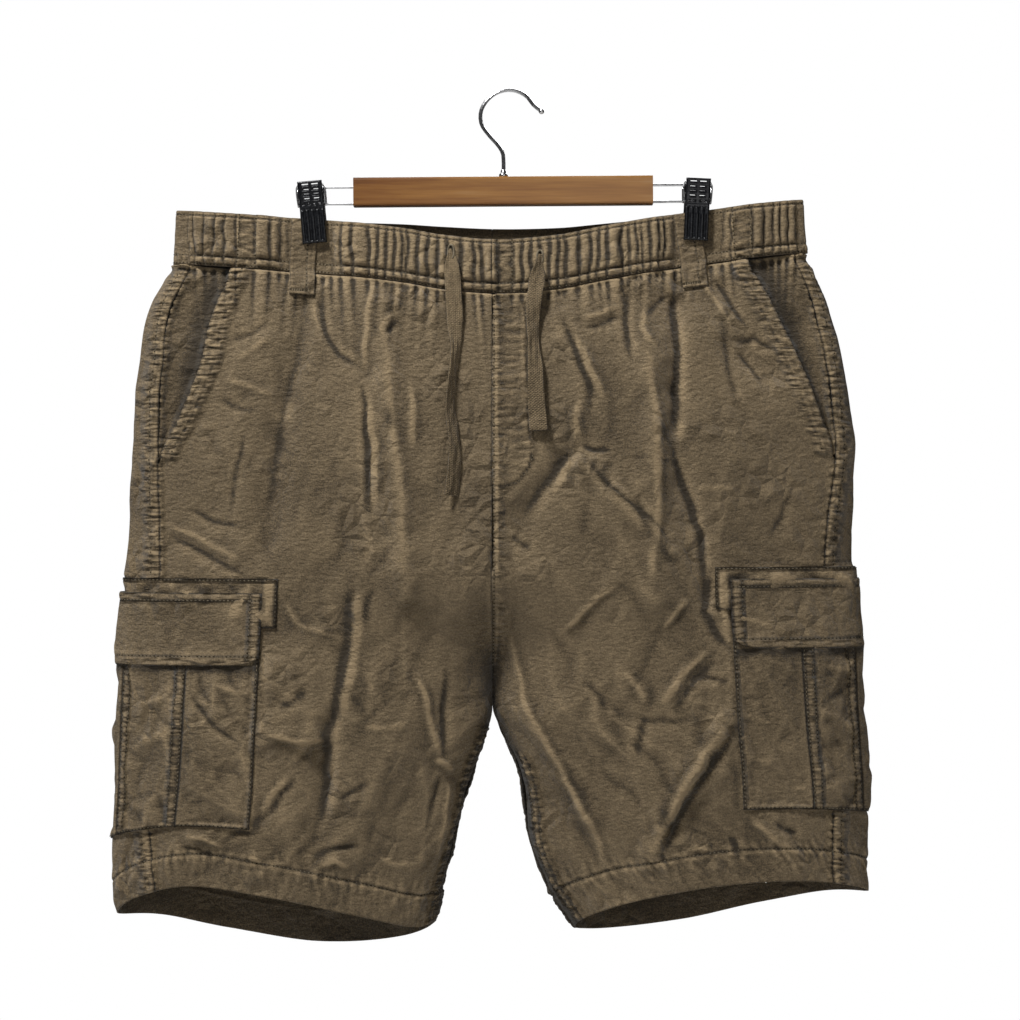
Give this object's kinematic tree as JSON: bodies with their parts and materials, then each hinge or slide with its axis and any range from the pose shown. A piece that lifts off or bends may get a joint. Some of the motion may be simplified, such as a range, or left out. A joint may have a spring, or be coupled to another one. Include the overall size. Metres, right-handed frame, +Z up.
{
  "type": "cargo shorts on a clip hanger",
  "caption": "Elastic-waist cotton cargo shorts with slash and flap pockets, belt loops and drawstring, hung by the waistband from a wooden clip hanger.",
  "frame": {"origin": "inner top of the hanger's hook, where a rail carries it", "axes": "+Z up, the front of the shorts faces -Y, +X to the right as seen from the front"},
  "size_m": [0.621, 0.0934, 0.7091],
  "materials": {
    "cloth": "washed khaki-olive cotton poplin, matt",
    "tape": "woven cotton tape, matt",
    "wood": "varnished, satin",
    "steel": "bright plated wire",
    "black": "black, semi-gloss"
  },
  "bodies": {
    "root": {"front_left": "cloth", "back_left": "cloth", "facing_left": "cloth", "patch_left": "cloth", "cargo_front_left": "cloth", "cargo_middle_left": "cloth", "cargo_back_left": "cloth", "flap_left": "cloth", "front_right": "cloth", "back_right": "cloth", "facing_right": "cloth", "patch_right": "cloth", "cargo_front_right": "cloth", "cargo_middle_right": "cloth", "cargo_back_right": "cloth", "flap_right": "cloth", "waistband_front_left": "cloth", "waistband_front_right": "cloth", "waistband_back_left": "cloth", "waistband_back_right": "cloth", "loop_left": "cloth", "loop_right": "cloth", "loop_back_left": "cloth", "loop_back_middle": "cloth", "loop_back_right": "cloth", "drawstring_left": "tape", "drawstring_right": "tape", "hanger_hook": "steel", "hanger_bar": "wood", "prong_left_upper": "steel", "prong_left_lower": "steel", "prong_right_upper": "steel", "prong_right_lower": "steel", "clip_left_front": "black", "clip_left_back": "black", "clip_left_core": "black", "clip_right_front": "black", "clip_right_back": "black", "clip_right_core": "black"}
  },
  "joints": []
}
